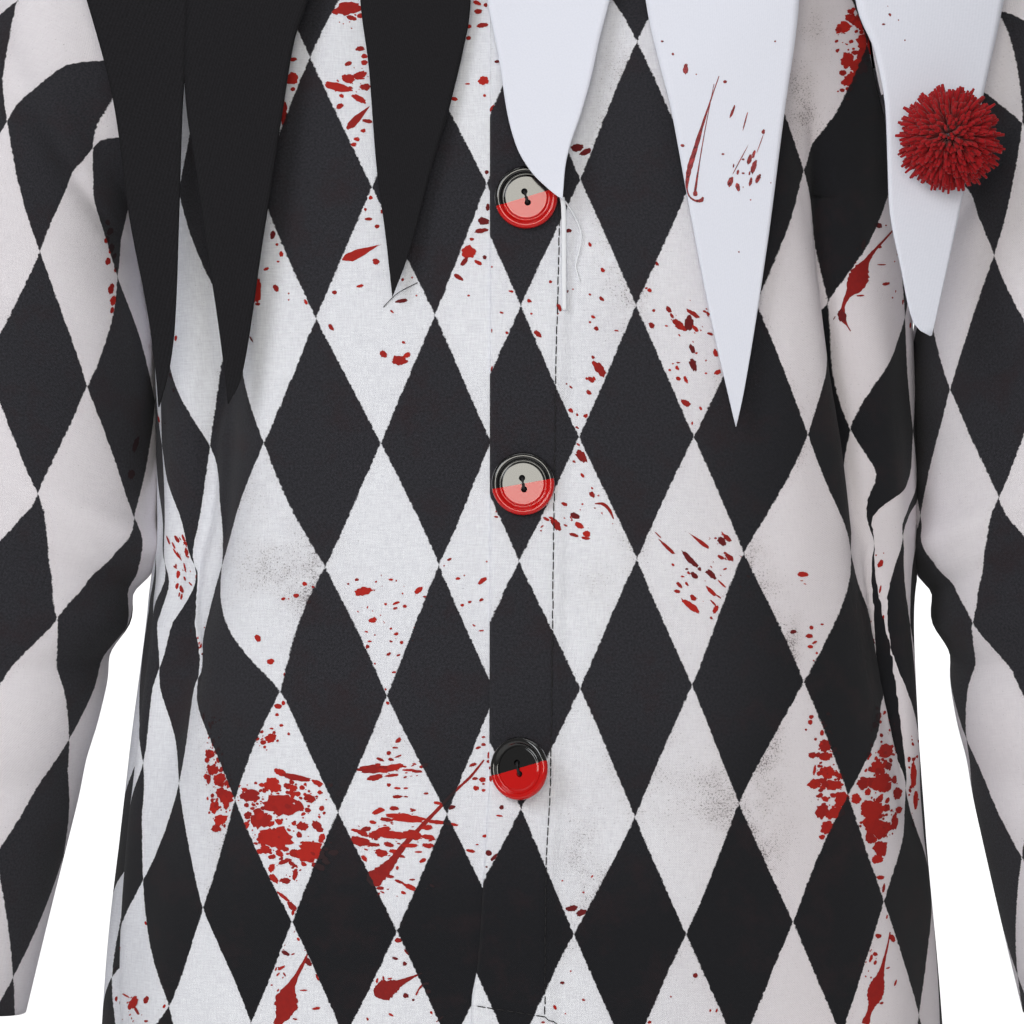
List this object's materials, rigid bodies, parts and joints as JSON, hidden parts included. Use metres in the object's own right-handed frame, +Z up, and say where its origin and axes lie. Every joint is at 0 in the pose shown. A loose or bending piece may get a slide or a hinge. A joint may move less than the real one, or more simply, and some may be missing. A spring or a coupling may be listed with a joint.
{
  "type": "jester costume top",
  "caption": "Worn-shape jester tunic in harlequin diamond print, with a long pointed two-colour collar, a buttoned half placket, set-in sleeves and a yarn pompom.",
  "frame": {"origin": "middle of the neck ring, level with the neck ends of the shoulder seams, where the shoulders hold the tunic", "axes": "+Z up, the front faces -Y, the white half of the collar is towards +X"},
  "size_m": [0.69, 0.3035, 0.7905],
  "materials": {
    "print_cloth": "thin plain-weave polyester, printed with black and off-white diamonds and red stains, matte",
    "black_twill": "black twill, matte",
    "white_cloth": "cool white cloth, matte, with a few red stains",
    "button_plastic": "moulded gloss plastic, black upper half and red lower half",
    "red_yarn": "cut red wool yarn"
  },
  "bodies": {
    "root": {"right_front": "print_cloth", "left_front": "print_cloth", "back": "print_cloth", "right_sleeve": "print_cloth", "left_sleeve": "print_cloth", "collar_black": "black_twill", "collar_white": "white_cloth", "button_1": "button_plastic", "button_2": "button_plastic", "button_3": "button_plastic", "pompom": "red_yarn"}
  },
  "joints": []
}
